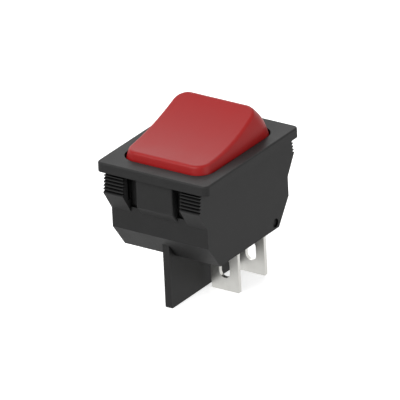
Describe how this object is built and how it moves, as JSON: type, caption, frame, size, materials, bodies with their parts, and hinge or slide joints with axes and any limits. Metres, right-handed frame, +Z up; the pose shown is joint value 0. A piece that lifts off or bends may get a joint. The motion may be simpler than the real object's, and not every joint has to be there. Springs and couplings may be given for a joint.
{
  "type": "rocker switch",
  "caption": "Snap-in double-pole rocker switch with a saddle-shaped rocker, toothed panel snaps, a barrier between poles and push-on blade terminals.",
  "frame": {"origin": "centre of the panel plane, on the underside of the bezel", "axes": "+X across the switch from pole to pole, +Y along it towards the end with the load terminals, +Z up out of the panel"},
  "size_m": [0.0254, 0.0326, 0.036],
  "materials": {
    "black_housing": "fine satin moulded",
    "red_rocker": "satin moulded",
    "plunger_plastic": "natural acetal",
    "spring_steel": "drawn wire",
    "copper_strip": "bright rolled copper",
    "silver_contact": "silver, fine satin",
    "tinned_terminal": "tin-plated brass, satin"
  },
  "bodies": {
    "frame": {"housing": "black_housing", "common_terminal_left": "tinned_terminal", "common_terminal_right": "tinned_terminal", "load_terminal_left": "tinned_terminal", "load_terminal_right": "tinned_terminal", "fixed_contact_left": "silver_contact", "fixed_contact_right": "silver_contact"},
    "rocker": {"rocker": "red_rocker", "plunger_spring_left": "spring_steel", "plunger_spring_right": "spring_steel"},
    "plunger_left": {"plunger_left": "plunger_plastic"},
    "plunger_right": {"plunger_right": "plunger_plastic"},
    "lever_left": {"contact_lever_left": "copper_strip", "moving_contact_left": "silver_contact"},
    "lever_right": {"contact_lever_right": "copper_strip", "moving_contact_right": "silver_contact"}
  },
  "joints": [
    {"name": "rocker_tilt", "type": "hinge", "parent": "frame", "child": "rocker", "pos_m": [0, 0, -0.0017], "axis": [1, 0, 0], "range_deg": [-28.8, 0]},
    {"name": "plunger_slide_left", "type": "slide", "parent": "rocker", "child": "plunger_left", "axis": [0, -0.2487, 0.9686], "range_m": [0, 0.001], "stiffness_N_per_m": 400, "springref_m": -0.002, "deforming": ["plunger_spring_left"]},
    {"name": "lever_tilt_left", "type": "hinge", "parent": "frame", "child": "lever_left", "pos_m": [-0.00513, 0, -0.01089], "axis": [1, 0, 0], "range_deg": [0, 20]},
    {"name": "plunger_slide_right", "type": "slide", "parent": "rocker", "child": "plunger_right", "axis": [0, -0.2487, 0.9686], "range_m": [0, 0.001], "stiffness_N_per_m": 400, "springref_m": -0.002, "deforming": ["plunger_spring_right"]},
    {"name": "lever_tilt_right", "type": "hinge", "parent": "frame", "child": "lever_right", "pos_m": [0.00513, 0, -0.01089], "axis": [1, 0, 0], "range_deg": [0, 20]}
  ],
  "couplings": [
    {"joint": "lever_tilt_left", "follows": "rocker_tilt", "ratio": -0.69444},
    {"joint": "lever_tilt_right", "follows": "rocker_tilt", "ratio": -0.69444}
  ]
}
